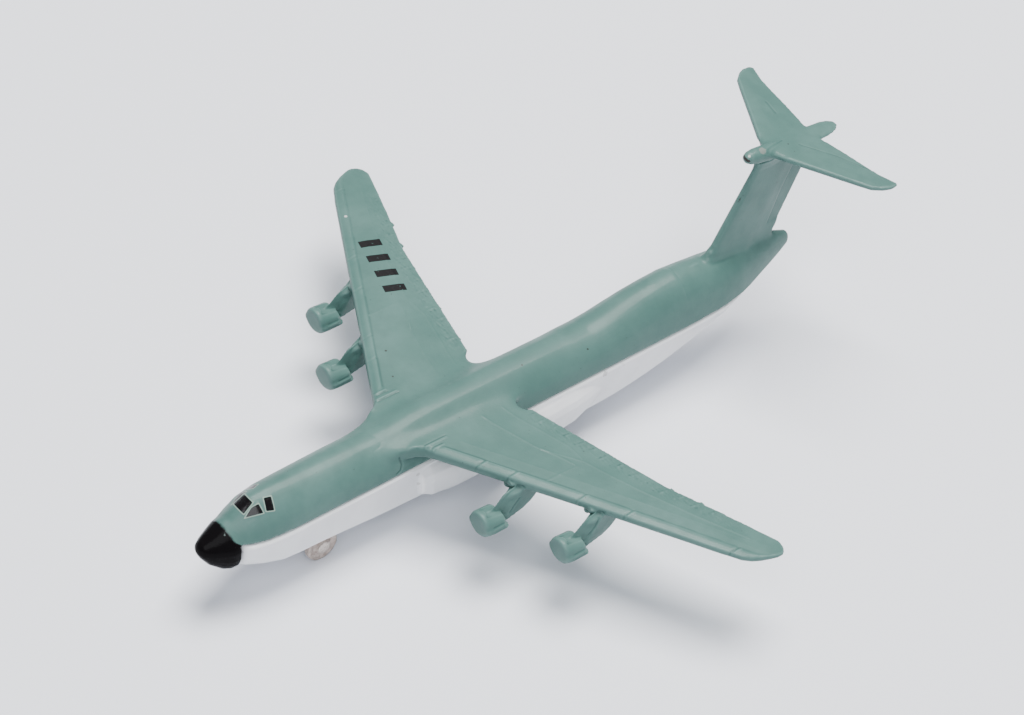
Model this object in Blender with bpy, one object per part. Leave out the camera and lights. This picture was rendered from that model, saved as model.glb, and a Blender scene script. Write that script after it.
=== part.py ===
"""Palm-size die-cast toy of a four-engine military transport aircraft.

+X is the nose, +Y the port wing and +Z up. The origin is on the floor, below the middle of the
toy. Sizes are in millimetres and become metres where a mesh is made.
"""

import math

import bmesh
import bpy
import numpy as np

MM = 0.001
FAR = 20.0
SHARP_ANGLE = math.radians(38.0)

# Driving dimensions
GAP = 0.3
SEAM_Z = 12.5
HALF_WIDTH = 5.2
BOTTOM_Z = 5.0
AXLE_Z = 2.8
WHEEL_RADIUS = 2.8
WHEEL_WIDTH = 1.2
AXLE_RADIUS = 0.55
AXLE_HOLE_RADIUS = 0.85

# Hull stations
#   x, half width, crown height above the centre line, keel depth below it,
#   height of the centre line over the seam, share of the keel that is rounded,
#   how slim the crown is: 1 is half an ellipse, and more draws its shoulders in
HULL = (
    (62.5, 0.45, 0.45, 0.5, -0.5, 0.9, 1.0),
    (62.1, 1.15, 1.15, 1.2, -0.7, 0.9, 1.0),
    (61.0, 1.95, 2.1, 2.4, -1.1, 0.9, 1.0),
    (59.1, 2.9, 3.2, 4.0, -1.2, 0.9, 1.08),
    (57.2, 3.75, 4.1, 4.9, -1.0, 0.9, 1.25),
    (55.2, 4.4, 4.9, 5.5, -0.5, 0.75, 1.34),
    (53.2, 4.8, 5.65, 5.9, -0.1, 0.5, 1.32),
    (50.0, 5.1, 5.75, 6.1, 0.0, 0.25, 1.22),
    (46.5, HALF_WIDTH, 5.65, 6.1, 0.0, 0.2, 1.18),
    (30.0, HALF_WIDTH, 5.6, 7.2, 0.0, 0.2, 1.04),
    (20.0, HALF_WIDTH, 6.4, 7.5, 0.0, 0.2, 1.0),
    (0.0, HALF_WIDTH, 6.1, 7.5, 0.0, 0.2, 1.0),
    (-12.0, HALF_WIDTH, 5.8, 7.5, 0.0, 0.2, 1.0),
    (-22.0, HALF_WIDTH, 7.6, 6.5, 0.0, 0.25, 1.0),
    (-29.5, HALF_WIDTH, 8.2, 4.8, 0.0, 0.35, 1.0),
    (-33.5, 5.1, 7.7, 3.6, 0.0, 0.45, 1.0),
    (-38.0, 4.9, 7.1, 2.4, 0.0, 0.6, 1.0),
    (-42.5, 4.15, 6.5, 1.4, 0.3, 0.8, 1.0),
    (-47.0, 2.95, 5.4, 1.25, 1.1, 0.9, 1.0),
    (-52.0, 1.65, 3.5, 1.1, 2.2, 0.9, 1.0),
    (-54.6, 0.9, 1.7, 0.9, 2.9, 0.9, 1.0),
    (-55.2, 0.4, 0.8, 0.6, 3.0, 0.9, 1.0),
)
HULL_SPACING = 3.1
CROWN_SIDES = 22
CORNER_SIDES = 6

# Lower shell
#   distance from its front end, how far the rounded end draws in there
SHELL_FRONT_X = 57.2
SHELL_REAR_X = -46.2
SHELL_PROUD = 0.2
SHELL_LIP = 0.35
SHELL_NOSE = ((0.0, 1.1), (0.2, 0.6), (0.6, 0.2), (1.4, 0.0))

# Cut through the casting for the lower shell, seen from the side, behind the nose
SPLIT_FRONT = ((57.2, 8.0), (57.4, 7.3), (57.9, 6.8), (58.6, 6.4), (62.9, 6.0))

# Wing stations on the port side
#   y, leading edge x, trailing edge x, leading edge z, trailing edge z, thickness
WING = (
    (0.0, 35.0, -6.0, 15.4, 16.2, 3.0),
    (3.0, 33.5, -1.6, 15.5, 16.1, 2.8),
    (3.8, 30.9, 1.4, 15.75, 16.1, 2.7),
    (4.6, 28.0, 4.3, 16.0, 16.0, 2.65),
    (5.5, 26.0, 6.0, 16.1, 15.9, 2.5),
    (6.5, 24.9, 5.9, 16.2, 15.85, 2.4),
    (8.0, 24.1, 5.1, 16.25, 15.8, 2.2),
    (24.5, 14.6, 0.95, 16.25, 15.75, 1.85),
    (33.2, 9.6, -1.35, 16.15, 15.75, 1.65),
    (41.0, 5.1, -4.5, 16.0, 15.5, 1.5),
    (48.0, 1.05, -7.2, 15.8, 15.25, 1.3),
    (50.8, -0.8, -8.2, 15.6, 15.2, 1.2),
    (51.8, -1.9, -8.15, 15.5, 15.2, 1.05),
    (52.5, -3.2, -7.9, 15.45, 15.2, 0.9),
    (53.05, -4.7, -7.5, 15.4, 15.2, 0.75),
    (53.4, -5.8, -7.0, 15.35, 15.2, 0.5),
)

# Section along the wing chord
#   distance behind the leading edge, largest share of the chord for it,
#   height above and depth below the middle as shares of the thickness
WING_SECTION = (
    (0.0, 0.0, 0.0, 0.0),
    (0.12, 0.015, 0.26, 0.26),
    (0.5, 0.06, 0.45, 0.38),
    (1.2, 0.14, 0.55, 0.45),
    (1.85, 0.22, 0.56, 0.48),
    (2.0, 0.235, 0.47, 0.48),
    (4.6, 0.42, 0.50, 0.50),
    (99.0, 0.65, 0.42, 0.42),
    (99.0, 1.0, 0.12, 0.16),
)

# Ends of the flap tracks: distance out from the middle, trailing edge x there
FLAP_TRACKS = ((11.2, 4.35), (18.5, 2.5), (22.85, 1.5), (28.4, 0.1), (33.7, -1.6), (38.6, -3.5))
# Their outline from the side: distance ahead of the trailing edge, z
FLAP_TRACK = ((1.7, 15.6), (1.6, 15.2), (0.2, 15.1), (-0.2, 15.3), (-0.32, 15.55), (-0.28, 15.7))
FLAP_TRACK_HALF_WIDTH = 0.4

# Tailplane stations on the port side, in the columns of the wing
TAIL = (
    (0.0, -46.7, -57.4, 37.3, 36.6, 1.5),
    (1.8, -47.6, -57.5, 37.3, 36.6, 1.4),
    (14.2, -54.2, -59.0, 37.25, 36.95, 1.05),
    (16.1, -55.3, -59.6, 37.2, 36.95, 0.9),
    (17.2, -56.7, -59.9, 37.2, 37.0, 0.75),
    (17.7, -57.8, -59.6, 37.15, 37.05, 0.5),
)
TAIL_SECTION = (
    (99.0, 0.0, 0.0, 0.0),
    (99.0, 0.02, 0.34, 0.24),
    (99.0, 0.07, 0.48, 0.40),
    (99.0, 0.35, 0.52, 0.50),
    (99.0, 0.70, 0.36, 0.40),
    (99.0, 1.0, 0.12, 0.2),
)

# Bullet along the top of the fin, which sinks into the tailplane and leaves a flat tongue
#   x, half width, half height, middle z
BULLET = (
    (-42.7, 0.35, 0.35, 38.0),
    (-43.0, 0.75, 0.75, 37.95),
    (-43.7, 1.1, 1.1, 37.85),
    (-44.9, 1.3, 1.35, 37.65),
    (-47.5, 1.45, 1.45, 37.25),
    (-50.5, 1.5, 1.15, 36.9),
    (-56.0, 1.5, 0.85, 36.4),
    (-60.3, 1.35, 0.6, 36.15),
    (-61.6, 1.05, 0.5, 36.05),
    (-62.4, 0.55, 0.35, 36.0),
)
BULLET_SIDES = 20

# Fin stations
#   z, leading edge x, trailing edge x, thickness
FIN = (
    (17.6, -32.9, -50.8, 4.4),
    (19.2, -35.3, -51.3, 2.9),
    (20.2, -36.8, -51.7, 2.2),
    (21.6, -38.0, -52.3, 1.75),
    (34.4, -44.9, -58.0, 1.4),
    (35.2, -45.3, -58.3, 1.7),
    (35.8, -45.5, -58.5, 2.2),
)
# Section along the fin chord, with the step down to the rudder: share of chord, of thickness
FIN_SECTION = ((0.0, 0.15), (0.02, 0.6), (0.07, 0.9), (0.2, 1.0), (0.62, 0.9), (0.635, 0.68),
               (1.0, 0.35))
FIN_TOP_Z = FIN[-1][0]

# Tenon from the fin into the tailplane: x, length, width, top z
TENON = (-50.0, 5.0, 0.7, 37.0)

# Engines
#   y, front x of the nacelle
ENGINES = ((19.5, 24.6), (30.8, 18.1))
NACELLE_Z = 11.7
NACELLE_SIDES = 24
NACELLE_HALF = (2.55, 2.15, 2.3)
DRUM_PROFILE = ((0.0, 0.84), (0.12, 0.92), (0.35, 0.98), (0.65, 1.0), (3.5, 1.0), (3.9, 0.9))
FLANGE_Z = 10.9
FLANGE_HALF = (2.7, 2.5)
FLANGE_PROFILE = ((0.35, 0.95), (0.6, 1.0), (4.0, 1.0), (4.4, 0.88), (4.6, 0.66))

# Pylon sections, kite-shaped seen from above
#   z, distance behind the nacelle front of the front edge, the widest point and the rear edge
PYLON = (
    (10.5, 3.0, 4.8, 8.6),
    (11.4, 2.4, 5.1, 10.2),
    (12.2, 2.1, 5.6, 11.0),
    (13.5, 2.1, 6.3, 12.0),
    (15.1, 5.2, 7.3, 12.9),
    (16.2, 7.5, 8.6, 13.4),
)
PYLON_HALF_WIDTH = 1.05
PYLON_REAR_HALF_WIDTH = 0.45

# Sponsons
#   x, outer half width, bottom z, top z
SPONSON = (
    (24.9, 5.45, 6.9, 11.4),
    (24.5, 6.3, 6.3, 11.8),
    (22.8, 6.8, 5.6, 12.0),
    (18.0, 7.05, 5.0, 12.0),
    (0.0, 7.05, 5.0, 12.0),
    (-6.0, 6.75, 5.4, 12.0),
    (-9.5, 6.1, 6.2, 11.9),
    (-12.6, 5.2, 7.2, 11.6),
)
# Corner points of its section: inwards from the outer width, distance from the top and bottom
SPONSON_TOP = ((1.9, 0.0), (1.1, 0.6), (0.35, 1.6), (0.0, 2.7))
SPONSON_FOOT = ((0.0, 1.5), (0.35, 0.55), (1.3, 0.0))

# Axles and legs
NOSE_AXLE_X = 41.2
MAIN_AXLE_X = -2.0
NOSE_LEG_HALF_WIDTH = 1.6
MAIN_LEG_HALF_WIDTH = 4.2
LEG_LENGTH = 3.8
LEG_FOOT_Z = 1.6
WELL_REACH = WHEEL_RADIUS + 0.5
AXLE_HEAD_RADIUS = 1.1
AXLE_HEAD_LENGTH = 0.5

# Outer side of a wheel: share of the radius, how far in from the side face
WHEEL_FACE = ((0.90, 0.0), (0.82, 0.0), (0.78, 0.16), (0.50, 0.16), (0.46, 0.0))
WHEEL_SIDES = 40

# Posts of the upper casting, turned over below the shell
POST_X = (27.0, -11.0)
POST_RADIUS = 1.3
POST_HEAD_RADIUS = 1.9
POST_HEAD_HEIGHT = 0.5


def clear_scene():
    for obj in list(bpy.data.objects):
        bpy.data.objects.remove(obj, do_unlink=True)


def material(name, color, roughness, metallic):
    mat = bpy.data.materials.new(name)
    mat.use_nodes = True
    shader = mat.node_tree.nodes["Principled BSDF"]
    shader.inputs["Base Color"].default_value = (*color, 1.0)
    shader.inputs["Roughness"].default_value = roughness
    shader.inputs["Metallic"].default_value = metallic
    return mat


def mesh_object(name, bm, mat=None, origin=(0.0, 0.0, 0.0)):
    """Scale a millimetre mesh to metres and link it, with its origin at the given point."""
    bmesh.ops.translate(bm, verts=bm.verts, vec=[-c for c in origin])
    bmesh.ops.scale(bm, verts=bm.verts, vec=(MM, MM, MM))
    bmesh.ops.recalc_face_normals(bm, faces=bm.faces)
    mesh = bpy.data.meshes.new(name)
    bm.to_mesh(mesh)
    bm.free()
    mesh.shade_smooth()
    mesh.set_sharp_from_angle(angle=SHARP_ANGLE)
    obj = bpy.data.objects.new(name, mesh)
    obj.location = [c * MM for c in origin]
    bpy.context.scene.collection.objects.link(obj)
    if mat:
        mesh.materials.append(mat)
    return obj


def loft(*runs):
    """Closed mesh through the rings of each run, which all have the same number of points."""
    bm = bmesh.new()
    for rings in runs:
        rows = [[bm.verts.new(point) for point in ring] for ring in rings]
        count = len(rows[0])
        for row, following in zip(rows, rows[1:]):
            for i in range(count):
                j = (i + 1) % count
                bm.faces.new((row[i], row[j], following[j], following[i]))
        bm.faces.new(rows[0])
        bm.faces.new(rows[-1])
    bmesh.ops.triangulate(bm, faces=bm.faces)
    return bm


def prism(outline_xz, y_range):
    return [[(x, y, z) for x, z in outline_xz] for y in y_range]


def box(x_range, y_range, z_range):
    (x0, x1), (z0, z1) = x_range, z_range
    return prism(((x0, z0), (x1, z0), (x1, z1), (x0, z1)), y_range)


def turns(sides):
    return [2 * math.pi * i / sides for i in range(sides)]


def turned_y(x, z, profile, sides=24):
    """Rings around an axis along Y, from (y, radius) pairs."""
    return [[(x + radius * math.cos(a), y, z + radius * math.sin(a)) for a in turns(sides)]
            for y, radius in profile]


def cylinder_z(x, z_range, radius, sides=20):
    return [[(x + radius * math.cos(a), radius * math.sin(a), z) for a in turns(sides)]
            for z in z_range]


def curve_through(table):
    """Function that gives all columns at any value of the first, without overshoot."""
    rows = np.array(sorted(table))
    places = rows[:, 0]
    slopes = np.diff(rows, axis=0) / np.diff(places)[:, None]
    before, after = slopes[:-1], slopes[1:]
    inner = np.zeros_like(before)
    same = before * after > 0
    inner[same] = 2 * before[same] * after[same] / (before[same] + after[same])
    tangents = np.vstack((slopes[:1], inner, slopes[-1:]))

    def at(place):
        i = min(max(int(np.searchsorted(places, place)) - 1, 0), len(places) - 2)
        step = places[i + 1] - places[i]
        t = (place - places[i]) / step
        return (rows[i] * (1 + 2 * t) * (1 - t) ** 2 + tangents[i] * step * t * (1 - t) ** 2
                + rows[i + 1] * t * t * (3 - 2 * t) + tangents[i + 1] * step * t * t * (t - 1))
    return at


def spread(places, spacing):
    """The given places with even ones between them, no further apart than about the spacing."""
    result = []
    for start, end in zip(places, places[1:]):
        count = max(1, round(abs(end - start) / spacing))
        result += [start + (end - start) * i / count for i in range(count)]
    return result + [places[-1]]


HULL_AT = curve_through(HULL)


def hull_ring(place):
    """Crown, elliptical or slimmer, over a slab-sided keel with rounded lower corners."""
    x, half_width, crown, keel, lift, rounded, slim = HULL_AT(place)
    mid_z = SEAM_Z + lift
    ring = []
    for i in range(CROWN_SIDES + 1):
        angle = math.pi * i / CROWN_SIDES
        across = math.copysign(abs(math.cos(angle)) ** slim, math.cos(angle))
        up = abs(math.sin(angle)) ** slim
        ring.append((x, half_width * across, mid_z + crown * up))
    corner = []
    for i in range(1, CORNER_SIDES + 1):
        angle = math.pi / 2 * i / CORNER_SIDES
        corner.append((half_width * (1 - rounded + rounded * math.cos(angle)),
                       mid_z - keel * (1 - rounded + rounded * math.sin(angle))))
    ring += [(x, -y, z) for y, z in corner]
    ring += [(x, y, z) for y, z in reversed(corner)]
    return ring


def shell_ring(place, inset):
    """Keel below the seam, a little proud of the hull, with a bevel along its top edge."""
    x, half_width, crown, keel, lift, rounded, slim = HULL_AT(place)
    mid_z = SEAM_Z + lift
    to_rear = min(1.0, (x - SHELL_REAR_X) / -SHELL_REAR_X)
    half_width += SHELL_PROUD * to_rear - inset
    bottom = mid_z - keel + inset
    top = SEAM_Z - GAP / 2
    lip = min(SHELL_LIP, (top - bottom) / 3) + inset / 2
    depth = mid_z - bottom
    at_lip = ((mid_z - top + lip) / depth - 1 + rounded) / rounded
    start = math.asin(min(max(at_lip, 0.0), 0.9))
    over_mid = max(0.0, (top - lip - mid_z) / crown)
    drawn_in = (1 - over_mid ** (2 / slim)) ** (slim / 2)
    side = half_width * (1 - rounded + rounded * math.cos(start)) * drawn_in
    half = [(side - lip, top), (side, top - lip)]
    for i in range(1, CORNER_SIDES + 1):
        angle = start + (math.pi / 2 - start) * i / CORNER_SIDES
        half.append((half_width * (1 - rounded + rounded * math.cos(angle)),
                     mid_z - depth * (1 - rounded + rounded * math.sin(angle))))
    return [(x, y, z) for y, z in half] + [(x, -y, z) for y, z in reversed(half)]


def aerofoil_ring(station, section):
    """Section across a wing at one spanwise station, from the leading edge over the top."""
    y, lead_x, trail_x, lead_z, trail_z, thickness = station
    chord = lead_x - trail_x
    upper, lower = [], []
    for distance, largest, above, below in section:
        share = min(distance / chord, largest)
        x = lead_x - share * chord
        z = lead_z + (trail_z - lead_z) * share
        upper.append((x, y, z + above * thickness))
        lower.append((x, y, z - below * thickness))
    return upper + lower[:0:-1]


def wing_rings(table, section):
    """Rings from the starboard tip to the port tip."""
    starboard = [(-row[0],) + row[1:] for row in table[:0:-1]]
    return [aerofoil_ring(row, section) for row in starboard + list(table)]


def use_boolean(obj, other, operation):
    other.hide_render = True
    other.display_type = "WIRE"
    other.hide_viewport = True
    mod = obj.modifiers.new(operation.title() + " " + other.name, "BOOLEAN")
    mod.operation = operation
    mod.object = other
    mod.solver = "EXACT"


def add(obj, name, *runs):
    use_boolean(obj, mesh_object("add_" + name, loft(*runs)), "UNION")


def cut(obj, name, *runs):
    use_boolean(obj, mesh_object("cut_" + name, loft(*runs)), "DIFFERENCE")


def drum(y, front_x):
    """Short closed nacelle with a rounded front edge, deeper below than above."""
    half_width, up, down = NACELLE_HALF
    rings = []
    for back, share in DRUM_PROFILE:
        ring = []
        for a in turns(NACELLE_SIDES):
            reach = up if math.sin(a) > 0 else down
            ring.append((front_x - back, y + half_width * share * math.cos(a),
                         NACELLE_Z + reach * share * math.sin(a)))
        rings.append(ring)
    return rings


def flange(y, front_x):
    """Lower half of a nacelle, which stands a little proud of the drum."""
    half_width, down = FLANGE_HALF
    start = math.asin((NACELLE_Z - FLANGE_Z) / down)
    rings = []
    for back, share in FLANGE_PROFILE:
        ring = []
        for i in range(NACELLE_SIDES // 2 + 1):
            a = start + (math.pi - 2 * start) * i / (NACELLE_SIDES // 2)
            drop = down * math.sin(a) + FLANGE_Z - NACELLE_Z
            ring.append((front_x - back, y + half_width * share * math.cos(a),
                         FLANGE_Z - drop * share))
        rings.append(ring)
    return rings


def pylon(y, front_x):
    """Leaning plate with a sharp front edge, from inside the nacelle up to the wing."""
    rings = []
    for z, front, widest, rear in PYLON:
        half, rear_half = PYLON_HALF_WIDTH, PYLON_REAR_HALF_WIDTH
        rings.append([(front_x - front, y, z), (front_x - widest, y + half, z),
                      (front_x - rear, y + rear_half, z), (front_x - rear, y - rear_half, z),
                      (front_x - widest, y - half, z)])
    return rings


def build_upper_casting(mat):
    rings = [hull_ring(x) for x in spread([row[0] for row in HULL], HULL_SPACING)]
    casting = mesh_object("upper_casting", loft(rings), mat)
    top = SEAM_Z + GAP / 2
    side_view = ((SHELL_REAR_X - GAP, top), (SHELL_FRONT_X, top)) + SPLIT_FRONT + (
        (SPLIT_FRONT[-1][0], -GAP), (SHELL_REAR_X - GAP, -GAP))
    cut(casting, "shell_room", prism(side_view, (-FAR, FAR)))
    add(casting, "wing", wing_rings(WING, WING_SECTION))
    tracks = [prism([(x + ahead, z) for ahead, z in FLAP_TRACK],
                    (side * y - FLAP_TRACK_HALF_WIDTH, side * y + FLAP_TRACK_HALF_WIDTH))
              for y, x in FLAP_TRACKS for side in (1, -1)]
    add(casting, "flap_tracks", *tracks)

    fin = []
    for z, lead_x, trail_x, thick in FIN:
        port = [(lead_x - s * (lead_x - trail_x), thick / 2 * t, z) for s, t in FIN_SECTION]
        fin.append(port + [(x, -y, z) for x, y, z in reversed(port)])
    add(casting, "fin", fin)
    x, length, width, top = TENON
    add(casting, "tenon", box((x - length / 2, x + length / 2), (-width / 2, width / 2),
                              (FIN_TOP_Z - 1.0, top)))

    engines = [(side * y, front_x) for y, front_x in ENGINES for side in (1, -1)]
    add(casting, "pylons", *[pylon(*engine) for engine in engines])
    add(casting, "drums", *[drum(*engine) for engine in engines])
    add(casting, "flanges", *[flange(*engine) for engine in engines])

    head_z = BOTTOM_Z - POST_HEAD_HEIGHT
    add(casting, "posts", *[cylinder_z(x, (head_z, SEAM_Z + 1.0), POST_RADIUS) for x in POST_X])
    add(casting, "post_heads", *[cylinder_z(x, (head_z, BOTTOM_Z), POST_HEAD_RADIUS)
                                 for x in POST_X])
    return casting


def build_tailplane(mat):
    tail = mesh_object("tailplane", loft(wing_rings(TAIL, TAIL_SECTION)), mat)
    rings = [[(x, half_width * math.cos(a), z + half_height * math.sin(a))
              for a in turns(BULLET_SIDES)] for x, half_width, half_height, z in BULLET]
    add(tail, "bullet", rings)
    x, length, width, top = TENON
    reach = length / 2 + GAP
    cut(tail, "tenon_slot", box((x - reach, x + reach), (-width / 2 - GAP, width / 2 + GAP),
                                (30.0, top + GAP)))
    cut(tail, "fin_seat", box((BULLET[-1][0] - 1.0, FIN[-1][1] + 1.0), (-3.0, 3.0),
                              (30.0, FIN_TOP_Z + GAP)))
    return tail


def sponson_ring(x, half_width, bottom, top):
    """Section across both sponsons, through the shell between them."""
    half = [(half_width - inwards, top - drop) for inwards, drop in SPONSON_TOP]
    half += [(half_width - inwards, bottom + rise) for inwards, rise in SPONSON_FOOT]
    return [(x, y, z) for y, z in half] + [(x, -y, z) for y, z in reversed(half)]


def build_lower_shell(mat):
    front, rear = SHELL_FRONT_X - GAP, SHELL_REAR_X
    rings = [shell_ring(front - back, inset) for back, inset in SHELL_NOSE]
    inner = [row[0] for row in HULL if rear + 1 < row[0] < front - SHELL_NOSE[-1][0] - 1]
    places = spread([front - SHELL_NOSE[-1][0]] + inner + [rear], HULL_SPACING)
    rings += [shell_ring(x, 0.0) for x in places[1:]]
    shell = mesh_object("lower_shell", loft(rings), mat)
    add(shell, "sponsons", [sponson_ring(*row) for row in SPONSON])
    for name, x, half in (("nose", NOSE_AXLE_X, NOSE_LEG_HALF_WIDTH),
                          ("main", MAIN_AXLE_X, MAIN_LEG_HALF_WIDTH)):
        outer = half + WHEEL_WIDTH + 3 * GAP
        wells = [box((x - WELL_REACH, x + WELL_REACH), sorted((side * half, side * outer)),
                     (0.0, AXLE_Z + WELL_REACH)) for side in (1, -1)]
        cut(shell, name + "_wells", *wells)
        add(shell, name + "_leg", box((x - LEG_LENGTH / 2, x + LEG_LENGTH / 2), (-half, half),
                                      (LEG_FOOT_Z, BOTTOM_Z + 1.5)))
        cut(shell, name + "_axle_hole", turned_y(
            x, AXLE_Z, ((-FAR, AXLE_HOLE_RADIUS), (FAR, AXLE_HOLE_RADIUS))))
    cut(shell, "post_holes", *[cylinder_z(x, (-1.0, SEAM_Z + 2.0), POST_RADIUS + GAP)
                               for x in POST_X])
    cut(shell, "post_sinks", *[cylinder_z(x, (-1.0, BOTTOM_Z + GAP), POST_HEAD_RADIUS + GAP)
                               for x in POST_X])
    return shell


def build_wheelset(name, x, leg_half, mats):
    """Two wheels on one headed axle, each node's origin on the axle line."""
    inner = leg_half + GAP
    outer = inner + WHEEL_WIDTH
    head_y = outer + GAP
    centre = (x, 0.0, AXLE_Z)
    head = ((head_y, AXLE_RADIUS), (head_y, AXLE_HEAD_RADIUS),
            (head_y + 0.7 * AXLE_HEAD_LENGTH, 0.9 * AXLE_HEAD_RADIUS),
            (head_y + AXLE_HEAD_LENGTH, 0.5 * AXLE_HEAD_RADIUS))
    profile = [(-y, radius) for y, radius in reversed(head)] + list(head)
    mesh_object(name + "_axle", loft(turned_y(x, AXLE_Z, profile)), mats["axle"], centre)
    for side, label in ((1, "port"), (-1, "starboard")):
        profile = [(inner, 0.9), (inner + 0.2, 1.0), (outer - 0.2, 1.0)]
        profile += [(outer - inwards, share) for share, inwards in WHEEL_FACE]
        rings = turned_y(x, AXLE_Z, [(side * y, WHEEL_RADIUS * share) for y, share in profile],
                         WHEEL_SIDES)
        wheel = mesh_object(f"{name}_wheel_{label}", loft(rings), mats["wheel"], centre)
        cut(wheel, f"{name}_bore_{label}", turned_y(
            x, AXLE_Z, ((-FAR, AXLE_HOLE_RADIUS), (FAR, AXLE_HOLE_RADIUS))))


def main():
    clear_scene()
    green = material("green_paint", (0.21, 0.35, 0.31), 0.38, 0.0)
    white = material("white_paint", (0.80, 0.80, 0.81), 0.45, 0.0)
    mats = {"wheel": material("bare_alloy", (0.52, 0.49, 0.46), 0.55, 0.9),
            "axle": material("steel_wire", (0.62, 0.62, 0.62), 0.35, 1.0)}
    build_upper_casting(green)
    build_tailplane(green)
    build_lower_shell(white)
    build_wheelset("nose", NOSE_AXLE_X, NOSE_LEG_HALF_WIDTH, mats)
    build_wheelset("main", MAIN_AXLE_X, MAIN_LEG_HALF_WIDTH, mats)


main()
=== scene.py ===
"""Die-cast toy transport plane, dressed around its CAD model.

The CAD solids become soft cast shapes with slats, panel lines and window frames, then get paint,
wear and bare metal. Sizes are in millimetres and become metres where a mesh is made.
+X is the nose, +Y the port wing and +Z up, with the floor at zero.
"""

import math

import bmesh
import bpy
import numpy as np
from mathutils import Matrix, Vector


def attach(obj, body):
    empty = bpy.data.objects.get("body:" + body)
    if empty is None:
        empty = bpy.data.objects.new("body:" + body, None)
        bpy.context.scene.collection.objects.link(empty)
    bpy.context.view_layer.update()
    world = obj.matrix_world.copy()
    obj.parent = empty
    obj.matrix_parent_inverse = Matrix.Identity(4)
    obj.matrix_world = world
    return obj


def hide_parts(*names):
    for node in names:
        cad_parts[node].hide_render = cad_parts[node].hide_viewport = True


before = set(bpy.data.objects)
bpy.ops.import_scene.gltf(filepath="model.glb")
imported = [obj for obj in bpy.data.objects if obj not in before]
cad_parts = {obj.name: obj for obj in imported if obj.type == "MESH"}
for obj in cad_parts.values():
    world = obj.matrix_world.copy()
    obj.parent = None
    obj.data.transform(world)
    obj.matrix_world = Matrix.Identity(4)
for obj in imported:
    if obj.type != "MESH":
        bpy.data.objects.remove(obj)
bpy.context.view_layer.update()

MM = 0.001

# Camera solved from the photo: right, up and back axes, place and focal length
CAMERA_AXES = ((-0.77669, 0.62596, 0.07023), (-0.39260, -0.56827, 0.72314),
               (0.49257, 0.53408, 0.68712))
CAMERA_PLACE = (312.51, 335.72, 451.47)
CAMERA_LENS = 142.08
SENSOR = 36.0

# Share of the way to the neighbours' mean in one smoothing step, and the step back that keeps
# the volume
PULL = 0.6
STEP_BACK = -0.55
# Curvature that counts as a full edge, and how often it is evened out
CURVE_SCALE = 0.012
CURVE_PASSES = 3

# Wing edges on one side: distance out from the middle, leading edge x, trailing edge x
WING_EDGES = np.array((
    (0.0, 35.0, -6.0), (3.0, 33.5, -1.6), (4.6, 28.0, 4.3), (5.5, 26.0, 6.0), (6.5, 24.9, 5.9),
    (8.0, 24.1, 5.1), (24.5, 14.6, 0.95), (33.2, 9.6, -1.35), (41.0, 5.1, -4.5),
    (48.0, 1.05, -7.2), (50.8, -0.8, -8.2), (51.8, -1.9, -8.15), (53.4, -5.8, -7.0)))
# Slats: depth, rise over the wing, groove and lip at their rear edge
SLAT_DEPTH = 1.95
SLAT_RISE = 0.025
SLAT_GROOVE = 0.012
SLAT_LIP = 0.02
# Breaks between the slats: distances out, depth, and the lip beside them
SLAT_BREAKS = (13.7, 18.2, 27.9, 34.5, 49.2)
BREAK_DEPTH = 0.09
BREAK_LIP = 0.05
BREAK_LIP_OFFSET = 0.36
# Ridges at the inner end of the slats, and the groove ahead of each
SLAT_END_RIDGES = (((6.2, 24.6), (6.2, 20.6)), ((7.3, 24.0), (7.3, 21.9)))
END_RIDGE_RISE = 0.13
END_GROOVE = 0.07
END_GROOVE_OFFSET = 0.38
# Sharp upper edge of the thin front face
FRONT_EDGE_BACK = 0.3
FRONT_EDGE_RISE = 0.08
# Fine line along the leading edge
PARALLEL_LINE_BACK = 4.6
PARALLEL_LINE_RISE = 0.02
# Raised panel lines on the wing top, as (distance out, x)
WING_LINES = (
    ((4.8, 13.2), (7.2, 12.7), (9.5, 12.1), (15.3, 10.5), (19.1, 8.8), (21.9, 7.85)),
    ((5.2, 9.1), (8.9, 8.4), (13.5, 7.1), (18.0, 5.9), (21.5, 6.1)),
    ((22.3, 7.7), (22.3, 13.7)),
    ((16.3, 10.1), (22.1, 6.2), (26.9, 4.7), (31.6, 3.1), (40.5, -0.6), (48.5, -4.4)),
)
WING_LINE_RISE = 0.045
# Chordwise marks ahead of the trailing edge: distance out, length
FLAP_MARKS = ((9.3, 1.2), (11.2, 2.2), (13.4, 1.3), (15.9, 1.5), (18.5, 2.2), (20.6, 1.2),
              (22.85, 2.2), (25.6, 1.4), (28.4, 2.2), (31.0, 1.3), (33.7, 2.1), (36.1, 1.2),
              (38.6, 1.9), (41.3, 1.2), (44.6, 1.3))
FLAP_MARK_RISE = 0.08
FLAP_MARK_GROOVE = 0.04
FLAP_GROOVE_OFFSET = 0.4
# Rough zone at the trailing edge: height and size of its finer and coarser bumps
FINE_BUMPS = (0.045, 0.6)
COARSE_BUMPS = (0.04, 1.4)
# Nubs beside the pylon tops: x, distance out, z
NUBS = ((17.7, 17.75, 15.1), (11.2, 29.05, 15.1))
NUB_RADIUS = 0.6

# Engine drums: distance out, front x
DRUMS = ((19.5, 24.6), (30.8, 18.1))
DRUM_LENGTH = 3.9
DRUM_MIDDLE_Z = 11.7
DRUM_TOP_Z = 13.85
DRUM_FALL = 0.8
# How much the drum draws in above and below its flange
DRUM_TAPER_ABOVE = 0.14
DRUM_TAPER_BELOW = 0.08
# Front edge of the pylons: height, distance behind the drum's front
PYLON_EDGE = np.array(((13.5, 2.1), (15.1, 5.2), (16.2, 7.5)))
PYLON_TAPER = 0.72
PYLON_FOOT_REACH = 0.9
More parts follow.
